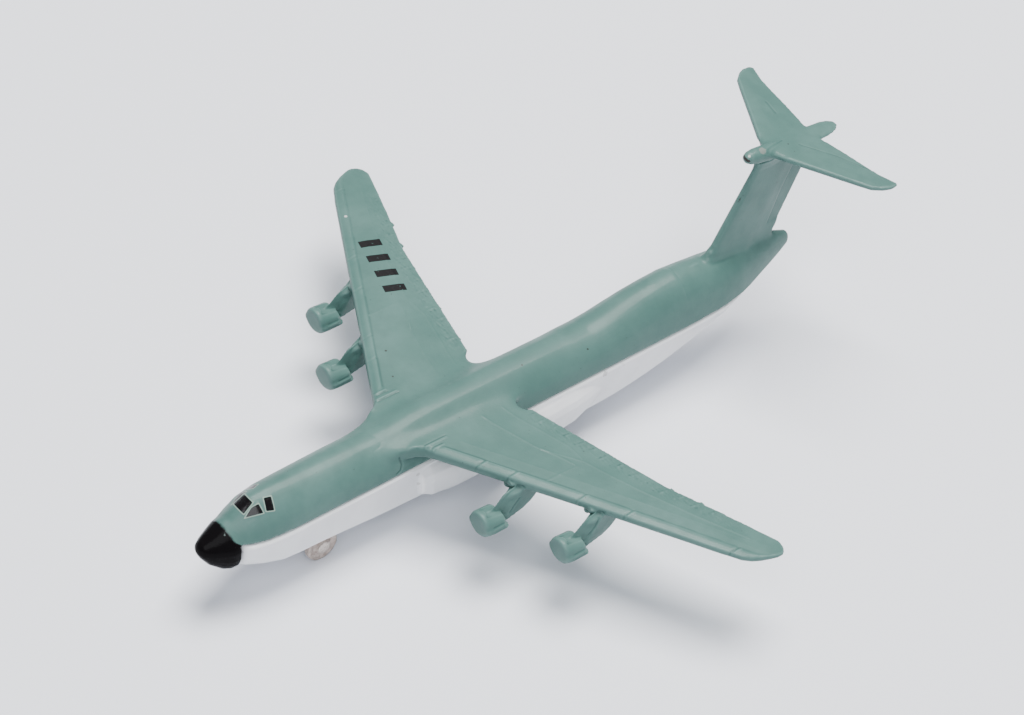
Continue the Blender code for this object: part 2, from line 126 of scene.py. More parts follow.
# Lines on the engines and pylons, as (x, distance out, z)
ENGINE_RIDGES = (
    ((24.4, 22.1, 11.65), (21.65, 22.1, 12.55)), ((18.0, 33.4, 12.2), (15.2, 33.4, 12.65)),
    ((22.7, 19.5, 13.45), (17.9, 19.5, 16.15)), ((15.9, 30.8, 13.57), (11.3, 30.8, 16.6)),
)
ENGINE_RIDGE_RISE = 0.18
PYLON_GROOVES = (
    ((17.36, 20.5, 13.93), (18.32, 20.5, 12.84), (19.09, 20.5, 11.87)),
    ((10.9, 31.8, 15.73), (11.77, 31.8, 13.89), (13.5, 31.8, 12.08)),
)
PYLON_GROOVE_DEPTH = 0.16

# Window panes on the port side, corners in order, with y from the middle of the print
PANE_MIDDLE = -0.3
FRONT_PANE = ((53.4, -1.12, 17.55), (53.4, 1.12, 17.55), (55.05, 1.35, 16.42),
              (55.05, -1.35, 16.42))
CORNER_PANE = ((52.78, 1.82, 17.42), (52.72, 2.88, 16.54), (55.03, 1.94, 16.21),
               (53.85, 1.6, 17.1))
SIDE_PANE = ((51.51, 1.52, 17.73), (50.51, 1.8, 17.7), (50.99, 3.29, 16.45), (52.02, 2.94, 16.6))
PANES = (FRONT_PANE, CORNER_PANE, SIDE_PANE)
# Raised frame around each pane
FRAME_OFFSET = 0.25
FRAME_RISE = 0.05

# Grooves in the fuselage and their depths
SIDE_GROOVE = ((28.3, 15.7), (28.0, 14.4), (28.35, 13.5), (29.1, 13.2))
SIDE_GROOVE_DEPTH = 0.14
CROWN_ARC = ((31.5, -1.4), (30.4, -0.25), (30.0, 0.7), (29.8, 1.7), (30.3, 2.2), (31.5, 2.35))
CROWN_ARC_DEPTH = 0.025
REAR_RING_X = -30.1
REAR_RING_DEPTH = 0.04
# Rear edge of the black nose: heights and places of its bend, and its lean above that
NOSE_LOW_Z = 12.5
NOSE_HIGH_Z = 13.6
NOSE_LOW_X = 57.0
NOSE_HIGH_X = 58.0
NOSE_LEAN = 0.3
# The black material starts a little beyond the edge of the sprayed black
NOSE_MATERIAL_OFFSET = 0.2
# How much fuller the nose gets, all over and more at the chin
NOSE_FULLER = 0.2
CHIN_FULLER = 0.15

# Fin: height, leading edge x, trailing edge x, and the front of the rudder
FIN_EDGES = np.array(((21.6, -38.0, -52.3), (34.4, -44.9, -58.0)))
FIN_TOP_RISE = 0.35
RUDDER_LINE = np.array(((21.5, -49.6), (22.3, -49.86), (27.86, -51.76), (31.46, -53.44),
                        (34.9, -55.0)))
RUDDER_DEPTH = 0.08
RUDDER_GROOVE = 0.05
DORSAL_RIDGE = ((-33.4, 0.3, 19.8), (-35.4, 0.3, 20.3), (-37.5, 0.3, 21.1))
DORSAL_RIDGE_RISE = 0.14

# Tailplane: distance out and leading edge x, then the height of its top along x at the middle
TAIL_LEAD = np.array(((0.0, -46.7), (1.8, -47.6), (14.2, -54.2), (16.1, -55.3), (17.2, -56.7)))
TAIL_EDGE_BACK = 0.35
TAIL_EDGE_RISE = 0.04
TAIL_DECK = np.array(((-62.5, 36.55), (-57.4, 36.85), (-56.0, 37.05), (-54.0, 37.4),
                      (-51.0, 37.8), (-48.5, 38.0)))
BULLET_SINK = 0.85
TONGUE_SPREAD = 0.25
TAIL_LINES = (
    ((-52.9, 1.8), (-56.4, 7.44), (-58.55, 12.62)),
    ((-55.55, -9.24), (-54.98, -6.28)),
)
TAIL_CREASE = ((-46.39, 1.43), (-47.14, 0.77), (-48.08, 0.47), (-51.0, -0.34))
TAIL_LINE_DEPTH = 0.08

# Wheels and axles: name, axle x, half width of the legs between the wheels
WHEELSETS = (("nose", 41.2, 1.6), ("main", -2.0, 4.2))
AXLE_Z = 2.8
RADIUS = 2.8
WIDTH = 1.2
GAP = 0.3
# Wheel section from the bore inside to the bore outside: radius, distance from the inner face
WHEEL_SECTION = ((0.86, 0.0), (2.3, 0.0), (2.5, 0.06), (2.68, 0.12), (2.76, 0.22), (2.78, 0.5),
                 (2.72, 0.60), (2.72, 0.66), (2.79, 0.76), (2.79, 1.0), (2.72, 1.12), (2.58, 1.2),
                 (2.36, 1.2), (2.24, 1.16), (2.16, 1.1), (1.6, 1.1), (1.44, 1.14), (1.34, 1.3),
                 (1.2, 1.44), (0.95, 1.46), (0.86, 1.4))
WHEEL_WOBBLE = 0.03
WIRE_RADIUS = 0.55
HEAD_RADIUS = 1.06
# Domed end of an axle's head
DOME_RADIUS = 1.1
DOME_RISE = 0.22
SIDES = 128

# Colours of the paint and the bare metal; the paler and deeper greens and whites also paint
# highlights on edges and shade in hollows
GREEN = (0.059, 0.131, 0.115)
# Paler green: random tone, and painted highlights on edges. Deeper green: random tone, and
# painted shade in hollows
GREEN_PALE_AND_HIGHLIGHT = (0.107, 0.194, 0.177)
GREEN_DEEP_AND_SHADE = (0.031, 0.078, 0.069)
# Paler green on the raised frames around the panes, a painted highlight
FRAME_HIGHLIGHT_GREEN = (0.34, 0.40, 0.33)
BLACK = (0.004, 0.0035, 0.004)
SOOT = (0.03, 0.028, 0.026)
PALE_CHIP = (0.42, 0.44, 0.43)
SMUDGE = (0.30, 0.26, 0.24)
WHITE = (0.76, 0.765, 0.78)
# The whiter edge colour is a painted highlight; the grey is random tone and painted shade in
# hollows
WHITE_EDGE_HIGHLIGHT = (0.84, 0.84, 0.845)
GREY_TONE_AND_SHADE = (0.64, 0.645, 0.67)
GRIME = (0.30, 0.29, 0.28)
ALLOY_PIT = (0.22, 0.17, 0.145)
ALLOY_DARK = (0.34, 0.275, 0.24)
ALLOY_PALE = (0.53, 0.45, 0.40)
WIRE_DARK = (0.42, 0.36, 0.32)
WIRE_PALE = (0.60, 0.54, 0.49)
FLOOR_COLOR = (0.77, 0.79, 0.845)

# Plain bars where the far wing is marked: middle distances, x of the first, size and lean
BAR_PLACES = (-25.4, -28.95, -32.5, -36.05)
BAR_X = 6.2
BAR_SLOPE = 0.31
BAR_HALF_LENGTH = 1.95
BAR_HALF_WIDTH = 0.75
BAR_LEAN = 0.31
BAR_BLUR = 0.04

# Chips, scratches and smudges: corners of the line or one place, half width, share, colour
CASTING_WEAR = (
    (((2.25, -43.45, 16.64),), 0.26, 1.0, PALE_CHIP),
    (((16.5, -14.3, 17.16),), 0.2, 0.9, SOOT),
    (((19.2, -9.05, 17.2),), 0.16, 0.9, SOOT),
    (((-10.0, 3.3, 16.98),), 0.17, 0.9, SOOT),
    (((1.85, 1.33, 18.4),), 0.15, 0.9, SOOT),
    (((-43.28, 0.1, 30.4), (-42.68, 0.1, 29.4)), 0.34, 1.0, SOOT),
)
TAIL_WEAR = (
    (((-43.1, -0.55, 38.3), (-42.75, 0.1, 38.25), (-43.0, 0.75, 38.0)), 0.26, 1.0, SOOT),
    (((-43.35, 0.35, 38.6),), 0.24, 1.0, PALE_CHIP),
    (((-46.0, 0.6, 38.8),), 0.7, 0.35, SMUDGE),
    (((-51.3, 0.88, 37.9),), 0.2, 0.9, SOOT),
)
# Scrapes in the black of the nose: the same, with raggedness in place of a colour
NOSE_SCRAPES = (
    (((58.65, 1.1, 14.5), (58.85, 1.45, 14.3)), 0.13, 0.4, 1.2),
    (((58.8, 1.25, 14.4), (60.85, 0.51, 13.6)), 0.07, 0.14, 0.5),
    (((57.95, 3.3, 11.9),), 0.16, 0.7, 0.8),
    (((57.9, 3.4, 10.9),), 0.2, 0.7, 0.8),
)
WEAR_RAGGED = 0.6
# Smudges on the base: place, radius
BASE_SMUDGES = (
    ((-12.5, 5.4, 11.8), 0.5), ((25.0, 5.4, 11.0), 0.35), ((25.0, 5.6, 9.0), 0.3),
    ((57.0, 3.3, 11.0), 0.35),
)
SMUDGE_RAGGED = 0.8

# Studio, in metres and watts: size of the floor, then name, place, size, power, colour of lights
FLOOR_SIZE = 8.0
LIGHTS = (
    ("overhead", (-0.25, -0.1, 1.1), 0.7, 30.0, (1.0, 0.985, 0.965)),
    ("front_fill", (0.6, 0.62, 0.95), 0.8, 11.5, (0.95, 0.97, 1.0)),
)
LIGHT_AIM = (0, 0, 0.01)
SKY_COLOR = (0.80, 0.86, 0.95, 1.0)
SKY_STRENGTH = 0.32


def arrays(mesh):
    """Places, normals and edges of a mesh as arrays."""
    co = np.empty(len(mesh.vertices) * 3)
    mesh.vertices.foreach_get("co", co)
    normals = np.empty(len(mesh.vertices) * 3)
    mesh.vertices.foreach_get("normal", normals)
    edges = np.empty(len(mesh.edges) * 2, dtype=np.int32)
    mesh.edges.foreach_get("vertices", edges)
    return co.reshape(-1, 3), normals.reshape(-1, 3), edges.reshape(-1, 2)


def put(mesh, co):
    mesh.vertices.foreach_set("co", co.ravel())
    mesh.update()


def new_object(name, mesh):
    obj = bpy.data.objects.new(name, mesh)
    bpy.context.scene.collection.objects.link(obj)
    return obj


def applied(obj, name):
    """Object with the given object's modifiers worked into its mesh; the first one goes."""
    depsgraph = bpy.context.evaluated_depsgraph_get()
    mesh = bpy.data.meshes.new_from_object(obj.evaluated_get(depsgraph))
    mesh.name = name
    bpy.data.objects.remove(obj, do_unlink=True)
    return new_object(name, mesh)


def node_copy(node, name, extras=()):
    """Copy of a CAD node in millimetres, with extra balls beside it."""
    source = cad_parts[node]
    bm = bmesh.new()
    bm.from_mesh(source.data)
    bm.transform(source.matrix_world)
    bmesh.ops.scale(bm, verts=bm.verts, vec=(1 / MM,) * 3)
    for place, radius in extras:
        made = bmesh.ops.create_icosphere(bm, subdivisions=2, radius=radius)
        bmesh.ops.translate(bm, verts=made["verts"], vec=place)
    bmesh.ops.remove_doubles(bm, verts=bm.verts, dist=1e-4)
    mesh = bpy.data.meshes.new(name)
    bm.to_mesh(mesh)
    bm.free()
    return new_object(name, mesh)


def remeshed(obj, voxel):
    mod = obj.modifiers.new("Remesh", "REMESH")
    mod.mode = "VOXEL"
    mod.voxel_size = voxel
    return applied(obj, obj.name)


def relaxed(co, edges, passes, share, back=STEP_BACK):
    """Smoothing by a share at each point, which keeps the volume where back is negative."""
    edges = edges[(share[edges] > 0).any(1)]
    used, local = np.unique(edges, return_inverse=True)
    local = local.reshape(-1, 2)
    part, weight = co[used], share[used][:, None]
    degree = np.bincount(local.ravel(), minlength=len(used))[:, None]
    for turn in range(passes):
        total = np.stack([np.bincount(local[:, 0], part[local[:, 1], k], len(used))
                          + np.bincount(local[:, 1], part[local[:, 0], k], len(used))
                          for k in range(3)], 1)
        pull = PULL if turn % 2 == 0 else back
        part = part + pull * weight * (total / degree - part)
    co = co.copy()
    co[used] = part
    return co


def slimmed(obj, triangles):
    mod = obj.modifiers.new("Decimate", "DECIMATE")
    obj.data.calc_loop_triangles()
    mod.ratio = min(1.0, triangles / len(obj.data.loop_triangles))
    mod.use_collapse_triangulate = True
    return applied(obj, obj.name)


def step(edge0, edge1, value):
    """0 at the first edge and 1 at the second, with a smooth rise between them."""
    t = np.clip((value - edge0) / (edge1 - edge0), 0, 1)
    return t * t * (3 - 2 * t)


def near(points, path):
    """Distance of each point from a line through the given corners."""
    best = np.full(len(points), 1e9)
    for a, b in zip(np.array(path, float), np.array(path[1:], float)):
        along = np.clip(((points - a) @ (b - a)) / ((b - a) @ (b - a)), 0, 1)
        best = np.minimum(best, np.linalg.norm(points - a - along[:, None] * (b - a), axis=1))
    return best


def ridge(distance, half_width):
    return np.exp(-(distance / half_width) ** 2)


def waves(points, size, seed, count=14):
    """Smooth pattern of about -1 to 1 with features of the given size."""
    rng = np.random.default_rng(seed)
    ways = rng.normal(size=(count, 3))
    ways /= np.linalg.norm(ways, axis=1)[:, None]
    lengths = size * rng.uniform(0.7, 1.6, count)
    phases = rng.uniform(0, 2 * math.pi, count)
    return np.sin(points @ (ways / lengths[:, None]).T * 2 * math.pi + phases).sum(1) / count * 2


def curvature(co, normals, edges):
    """How far each point stands out from its neighbours, evened out a little."""
    degree = np.maximum(np.bincount(edges.ravel(), minlength=len(co)), 1)

    def mean(values):
        return (np.bincount(edges[:, 0], values[edges[:, 1]], len(values))
                + np.bincount(edges[:, 1], values[edges[:, 0]], len(values))) / degree

    around = np.stack([mean(co[:, k]) for k in range(3)], 1)
    out = ((co - around) * normals).sum(1)
    for _ in range(CURVE_PASSES):
        out = 0.5 * out + 0.5 * mean(out)
    return out


def split_nose(mesh):
    """The second material for the faces of the black nose."""
    centres = np.empty(len(mesh.polygons) * 3)
    mesh.polygons.foreach_get("center", centres)
    x, z = centres[::3] / MM, centres[2::3] / MM
    edge_x = (NOSE_LOW_X + (NOSE_HIGH_X - NOSE_LOW_X) * step(NOSE_LOW_Z, NOSE_HIGH_Z, z)
              + NOSE_LEAN * np.maximum(z - NOSE_HIGH_Z, 0))
    black = (x > edge_x + NOSE_MATERIAL_OFFSET).astype(np.int32)
    mesh.polygons.foreach_set("material_index", black)


def finish_mesh(obj, triangles, materials):
    """Curvature kept as an attribute, fewer triangles, metres and smooth shading."""
    co, normals, edges = arrays(obj.data)
    out = curvature(co, normals, edges) / CURVE_SCALE
    layer = obj.data.attributes.new("relief", "FLOAT", "POINT")
    layer.data.foreach_set("value", np.clip(out, -1, 1))
    obj = slimmed(obj, triangles)
    obj.data.transform(Matrix.Scale(MM, 4))
    obj.data.shade_smooth()
    obj.data.materials.clear()
    for material_ in materials:
        obj.data.materials.append(material_)
    if len(materials) > 1:
        split_nose(obj.data)
    return obj


class Paint:
    """A Principled material and short ways to wire it."""

    def __init__(self, name, roughness, metallic=0.0, coat=0.0, coat_roughness=0.2, specular=0.5):
        self.material = bpy.data.materials.new(name)
        self.material.use_nodes = True
        self.tree = self.material.node_tree
        self.shader = self.tree.nodes["Principled BSDF"]
        self.shader.inputs["Roughness"].default_value = roughness
        self.shader.inputs["Metallic"].default_value = metallic
        self.shader.inputs["Coat Weight"].default_value = coat
        self.shader.inputs["Coat Roughness"].default_value = coat_roughness
        self.shader.inputs["Specular IOR Level"].default_value = specular
        place = self.tree.nodes.new("ShaderNodeTexCoord").outputs["Object"]
        self.place = self.vector("SCALE", place, scale=1 / MM)
        parts = self.tree.nodes.new("ShaderNodeSeparateXYZ")
        self.tree.links.new(self.place, parts.inputs[0])
        self.x, self.y, self.z = parts.outputs

    def put(self, socket, value):
        if isinstance(value, bpy.types.NodeSocket):
            self.tree.links.new(value, socket)
        elif hasattr(socket.default_value, "__len__") and len(socket.default_value) == 4:
            socket.default_value = (*value, 1.0)
        else:
            socket.default_value = value

    def surface(self, color, rough=None):
        """Colour, and roughness where it varies, of the whole material."""
        self.put(self.shader.inputs["Base Color"], color)
        if rough is not None:
            self.put(self.shader.inputs["Roughness"], rough)

    def vector(self, operation, a, b=None, scale=None):
        node = self.tree.nodes.new("ShaderNodeVectorMath")
        node.operation = operation
        self.put(node.inputs[0], a)
        if b is not None:
            self.put(node.inputs[1], b)
        if scale is not None:
            self.put(node.inputs["Scale"], scale)
        return node.outputs["Value" if operation in ("DOT_PRODUCT", "DISTANCE") else "Vector"]

    def math(self, operation, a, b=None, c=None, clamp=False):
        node = self.tree.nodes.new("ShaderNodeMath")
        node.operation = operation
        node.use_clamp = clamp
        for socket, value in zip(node.inputs, (a, b, c)):
            if value is not None:
                self.put(socket, value)
        return node.outputs[0]

    def ease(self, value, low, high, to_low=0.0, to_high=1.0):
        node = self.tree.nodes.new("ShaderNodeMapRange")
        node.interpolation_type = "SMOOTHSTEP"
        for name, given in (("Value", value), ("From Min", low), ("From Max", high),
                            ("To Min", to_low), ("To Max", to_high)):
            self.put(node.inputs[name], given)
        return node.outputs["Result"]

    def noise(self, size, detail, roughness=0.5):
        """Noise around 0.5 with features of the given size."""
        node = self.tree.nodes.new("ShaderNodeTexNoise")
        self.put(node.inputs["Vector"], self.place)
        node.inputs["Scale"].default_value = 1.0 / size
        node.inputs["Detail"].default_value = detail
        node.inputs["Roughness"].default_value = roughness
        return node.outputs["Fac"]

    def mix(self, share, a, b):
        node = self.tree.nodes.new("ShaderNodeMix")
        node.data_type = "RGBA"
        self.put(node.inputs[0], share)
        self.put(node.inputs[6], a)
        self.put(node.inputs[7], b)
        return node.outputs[2]

    def blend(self, share, a, b):
        """Plain number between a and b."""
        node = self.tree.nodes.new("ShaderNodeMix")
        self.put(node.inputs[0], share)
        self.put(node.inputs[2], a)
        self.put(node.inputs[3], b)
        return node.outputs[0]

    def attribute(self, name):
        node = self.tree.nodes.new("ShaderNodeAttribute")
        node.attribute_name = name
        return node.outputs["Fac"]

    def either(self, *masks):
        total = masks[0]
        for mask in masks[1:]:
            total = self.math("MAXIMUM", total, mask)
        return total

    def both(self, *masks):
        total = masks[0]
        for mask in masks[1:]:
            total = self.math("MULTIPLY", total, mask)
        return total

    def frayed(self, distance, size, width, ragged):
        """Distance made uneven by noise of the given size."""
        uneven = self.math("MULTIPLY_ADD", self.noise(size, 3.0), width * ragged * 2,
                           -width * ragged)
        return self.math("ADD", distance, uneven)

    def spot(self, centre, radius, ragged):
        """1 within a ragged round spot."""
        away = self.vector("DISTANCE", self.place, centre)
        away = self.frayed(away, radius * 0.6, radius, ragged)
        return self.ease(away, radius * 1.1, radius * 0.85)

    def stroke(self, path, half_width, ragged):
        """1 along a ragged line through the given corners."""
        best = None
        for a, b in zip(path, path[1:]):
            reach = Vector(b) - Vector(a)
            offset = self.vector("SUBTRACT", self.place, a)
            along = self.math("DIVIDE", self.vector("DOT_PRODUCT", offset, tuple(reach)),
                              reach.length_squared, clamp=True)
            away = self.vector("DISTANCE", offset,
                               self.vector("SCALE", tuple(reach), scale=along))
            best = away if best is None else self.math("MINIMUM", best, away)
        best = self.frayed(best, half_width, half_width, ragged)
        return self.ease(best, half_width * 1.25, half_width * 0.75)

    def mark(self, path, half_width, ragged):
        """A stroke, or a spot where the path is a single place."""
        if len(path) > 1:
            return self.stroke(path, half_width, ragged)
        return self.spot(path[0], half_width, ragged)

    def bump(self, height, distance, strength):
        node = self.tree.nodes.new("ShaderNodeBump")
        self.put(node.inputs["Height"], height)
        self.put(node.inputs["Strength"], strength)
        node.inputs["Distance"].default_value = distance * MM
        self.put(self.shader.inputs["Normal"], node.outputs["Normal"])

    def pane(self, corners):
        """Masks of a pane with rounded corners and of the frame around it, on both sides."""
        points = np.array(corners)
        centre = points.mean(0)
        facing = np.cross(points[1] - points[0], points[2] - points[1])
        facing /= np.linalg.norm(facing)
        mirrored = self.tree.nodes.new("ShaderNodeCombineXYZ")
        out_y = self.math("ABSOLUTE", self.math("SUBTRACT", self.y, PANE_MIDDLE))
        for socket, value in zip(mirrored.inputs, (self.x, out_y, self.z)):
            self.put(socket, value)
        outside = None
        for a, b in zip(points, np.roll(points, -1, 0)):
            normal = np.cross(b - a, facing)
            normal /= np.linalg.norm(normal)
            if (centre - a) @ normal > 0:
                normal = -normal
            beyond = self.math("SUBTRACT", self.vector("DOT_PRODUCT", mirrored.outputs[0],
                                                       tuple(normal)), float(a @ normal))
            outside = beyond if outside is None else self.math(
                "SMOOTH_MAX", outside, beyond, 0.3)
        close = self.vector("DOT_PRODUCT", mirrored.outputs[0], tuple(facing))
        close = self.math("ABSOLUTE", self.math("SUBTRACT", close, float(centre @ facing)))
        close = self.ease(close, 1.3, 1.1)
        inside = self.ease(outside, 0.1, 0.02)
        around = self.both(self.ease(outside, 0.08, 0.13), self.ease(outside, 0.27, 0.18))
        return self.both(inside, close), self.both(around, close)


def nose_masks(paint):
    """Masks of the sprayed nose, soft at its upper edge and sharp below, and of its scrapes."""
    lean = paint.math("MAXIMUM", paint.math("SUBTRACT", paint.z, NOSE_HIGH_Z), 0.0)
    edge_x = paint.math("ADD", paint.ease(paint.z, NOSE_LOW_Z, NOSE_HIGH_Z, NOSE_LOW_X,
                                          NOSE_HIGH_X), paint.math("MULTIPLY", lean, NOSE_LEAN))
    uneven = paint.math("MULTIPLY_ADD", paint.noise(0.5, 4.0), 0.5, -0.25)
    beyond = paint.math("ADD", paint.math("SUBTRACT", paint.x, edge_x), uneven)
    soft = paint.ease(paint.z, 12.6, 14.2, 0.05, 0.3)
    nose = paint.ease(beyond, paint.math("MULTIPLY", soft, -1.0), soft)
    scrapes = paint.either(*[paint.both(paint.mark(path, half_width, ragged), share)
                             for path, half_width, share, ragged in NOSE_SCRAPES])
    return paint.both(nose, paint.math("SUBTRACT", 1.0, scrapes)), scrapes


def window_masks(paint):
    """Masks of the panes, with worn spots, and of the frames around them."""
    masks = [paint.pane(corners) for corners in PANES]
    panes = paint.either(*[inside for inside, around in masks])
    frames = paint.either(*[around for inside, around in masks])
    return paint.both(panes, paint.ease(paint.noise(0.22, 2.0), 0.78, 0.72)), frames


def bar_mask(paint):
    """Mask of the plain bars on the far wing, with worn spots."""
    chordwise = paint.math("SUBTRACT", paint.x, paint.math(
        "MULTIPLY_ADD", paint.y, BAR_SLOPE, BAR_X - BAR_SLOPE * BAR_PLACES[0]))
    along = paint.ease(paint.math("ABSOLUTE", chordwise), BAR_HALF_LENGTH + BAR_BLUR,
                       BAR_HALF_LENGTH - BAR_BLUR)
    leaning = paint.math("MULTIPLY_ADD", chordwise, BAR_LEAN, paint.y)
    across = []
    for middle in BAR_PLACES:
        away = paint.math("ABSOLUTE", paint.math("SUBTRACT", leaning, middle))
        across.append(paint.ease(away, BAR_HALF_WIDTH + BAR_BLUR, BAR_HALF_WIDTH - BAR_BLUR))
    wing_top = paint.ease(paint.z, 15.95, 16.05)
    worn = paint.ease(paint.noise(0.3, 3.0), 0.74, 0.68)
    return paint.both(paint.either(*across), along, wing_top, worn)


def with_markings(paint, color, rough):
    """The paint with the casting's black nose, windows and bars over it."""
    nose, scrapes = nose_masks(paint)
    panes, frames = window_masks(paint)
    bars = bar_mask(paint)
    color = paint.mix(scrapes, color, PALE_CHIP)
    # Painted highlight: a paler green along the raised frames around the panes
    color = paint.mix(paint.both(frames, 0.6), color, FRAME_HIGHLIGHT_GREEN)
    color = paint.mix(paint.either(nose, panes, bars), color, BLACK)
    shiny = paint.ease(paint.noise(1.2, 4.0), 0.4, 0.7, 0.16, 0.3)
    rough = paint.blend(paint.either(nose, panes), rough, shiny)
    return color, paint.blend(bars, rough, 0.42)


def green_paint(name, wear, marked, specular, coat):
    paint = Paint(name, 0.34, coat=coat, coat_roughness=0.16, specular=specular)
    relief = paint.attribute("relief")
    cloud = paint.noise(9.0, 3.0)
    color = paint.mix(paint.ease(cloud, 0.35, 0.7, 0.0, 0.35), GREEN, GREEN_PALE_AND_HIGHLIGHT)
    color = paint.mix(paint.ease(paint.noise(2.2, 4.0), 0.3, 0.75, 0.0, 0.22), color, GREEN_DEEP_AND_SHADE)
    # Paint runs thin over edges and gathers in hollows; this also paints highlights on the edges
    # and shade in the hollows
    color = paint.mix(paint.ease(relief, 0.15, 0.9, 0.0, 0.5), color, GREEN_PALE_AND_HIGHLIGHT)
    color = paint.mix(paint.ease(relief, -0.1, -0.8, 0.0, 0.7), color, GREEN_DEEP_AND_SHADE)
    specks = paint.ease(paint.noise(0.55, 1.0), 0.79, 0.81)
    color = paint.mix(paint.both(specks, 0.6), color, SOOT)
    rough = paint.ease(paint.noise(3.5, 3.0), 0.3, 0.7, 0.42, 0.53)
    if marked:
        color, rough = with_markings(paint, color, rough)
    for path, half_width, share, chip_color in wear:
        mask = paint.mark(path, half_width, WEAR_RAGGED)
        color = paint.mix(paint.both(mask, share), color, chip_color)
        rough = paint.blend(mask, rough, 0.5)
    paint.surface(color, rough)
    fine = paint.math("MULTIPLY", paint.noise(0.3, 2.0), 1.5)
    paint.bump(paint.math("ADD", paint.noise(0.8, 2.0), fine), 0.03, 0.5)
    return paint.material


def white_paint():
    paint = Paint("white_paint", 0.4, coat=0.15, coat_roughness=0.25)
    relief = paint.attribute("relief")
    color = paint.mix(paint.ease(paint.noise(6.0, 3.0), 0.35, 0.7, 0.0, 0.5), WHITE, GREY_TONE_AND_SHADE)
    # Painted shade in the hollows, and painted highlights on the edges such as the base's bright
    # top lip
    color = paint.mix(paint.ease(relief, -0.1, -0.8, 0.0, 0.45), color, GREY_TONE_AND_SHADE)
    color = paint.mix(paint.ease(relief, 0.2, 0.9, 0.0, 0.8), color, WHITE_EDGE_HIGHLIGHT)
    smudges = paint.both(paint.ease(paint.noise(3.2, 6.0, 0.7), 0.62, 0.8), 0.32)
    color = paint.mix(smudges, color, GRIME)
    for centre, radius in BASE_SMUDGES:
        smudge = paint.spot(centre, radius, SMUDGE_RAGGED)
        color = paint.mix(paint.both(smudge, 0.5), color, GRIME)
    paint.surface(color, paint.ease(paint.noise(2.5, 3.0), 0.3, 0.7, 0.34, 0.5))
    paint.bump(paint.noise(0.6, 2.0), 0.015, 0.35)
    return paint.material


def cast_metal():
    paint = Paint("bare_alloy", 0.5, metallic=0.35)
    color = paint.mix(paint.ease(paint.noise(0.7, 4.0), 0.3, 0.7), ALLOY_DARK, ALLOY_PALE)
    pits = paint.ease(paint.noise(0.25, 3.0), 0.58, 0.75, 0.0, 0.6)
    paint.surface(paint.mix(pits, color, ALLOY_PIT),
                  paint.ease(paint.noise(0.4, 3.0), 0.3, 0.7, 0.38, 0.6))
    paint.bump(paint.noise(0.22, 3.0), 0.03, 0.6)
    return paint.material


def drawn_wire():
    paint = Paint("steel_wire", 0.45, metallic=0.5)
    paint.surface(paint.mix(paint.ease(paint.noise(0.3, 3.0), 0.4, 0.7), WIRE_PALE, WIRE_DARK))
    paint.bump(paint.noise(0.15, 2.0), 0.01, 0.4)
    return paint.material


green = green_paint("green_paint", CASTING_WEAR, True, specular=0.2, coat=0.1)
nose_black = green_paint("nose_black", CASTING_WEAR, True, specular=0.02, coat=0.02)
green_tail = green_paint("green_paint_tail", TAIL_WEAR, False, specular=0.2, coat=0.1)
white = white_paint()
alloy = cast_metal()
wire = drawn_wire()


class WingPlaces:
    """Where points lie on the wings: distances from the edges, and masks of top and front."""

    def __init__(self, co, normals):
        self.out = np.abs(co[:, 1])
        lead, trail = (np.interp(self.out, WING_EDGES[:, 0], WING_EDGES[:, k]) for k in (1, 2))
        self.behind = lead - co[:, 0]
        self.ahead = co[:, 0] - trail
        self.plan = np.stack([self.out, co[:, 0]], 1)
        # 1 on the port wing and 0 on the far one
        self.port = step(-1.0, 1.0, co[:, 1])
        self.wing = step(5.2, 5.8, self.out) * step(14.6, 14.8, co[:, 2])
        self.top = self.wing * step(0.2, 0.6, normals[:, 2])
        self.front = self.wing * step(-0.3, 0.1, normals[:, 2])


def slat_height(at, normals):
    """Slats, faint outboard and on the far wing, with their breaks and inner ends."""
    clear = 0.35 + 0.65 * at.port
    span = step(7.6, 7.75, at.out) * step(51.0, 50.6, at.out)
    faint = clear * at.top * span * (1 - 0.85 * step(14.0, 24.0, at.out))
    height = SLAT_RISE * faint * step(SLAT_DEPTH + 0.15, SLAT_DEPTH - 0.1, at.behind)
    height -= SLAT_GROOVE * faint * ridge(at.behind - SLAT_DEPTH - 0.15, 0.16)
    height += SLAT_LIP * faint * ridge(at.behind - SLAT_DEPTH + 0.2, 0.18)
    edge = at.wing * step(6.0, 6.6, at.out) * step(51.5, 50.8, at.out)
    edge = edge * step(0.1, 0.5, normals[:, 2])
    height += FRONT_EDGE_RISE * edge * ridge(at.behind - FRONT_EDGE_BACK, 0.17)
    for place in SLAT_BREAKS:
        groove = clear * at.front * step(2.3, 2.0, at.behind) * ridge(at.out - place, 0.15)
        lip = clear * at.top * step(2.1, 1.9, at.behind)
        lip = lip * ridge(at.out - place - BREAK_LIP_OFFSET, 0.17)
        height += BREAK_LIP * lip - BREAK_DEPTH * groove
    for path in SLAT_END_RIDGES:
        groove = ridge(near(at.plan + (END_GROOVE_OFFSET, 0.0), path), 0.15)
        height += at.top * (END_RIDGE_RISE * ridge(near(at.plan, path), 0.16)
                            - END_GROOVE * groove)
    return height


def line_height(at):
    """Raised panel lines on the wing top, fainter on the far wing."""
    parallel = ridge(at.behind - PARALLEL_LINE_BACK, 0.16)
    parallel = parallel * step(8.0, 8.4, at.out) * step(50.0, 49.0, at.out)
    height = PARALLEL_LINE_RISE * at.top * parallel
    for path in WING_LINES:
        height += WING_LINE_RISE * (0.75 + 0.25 * at.port) * at.top * ridge(
            near(at.plan, path), 0.16)
    return height


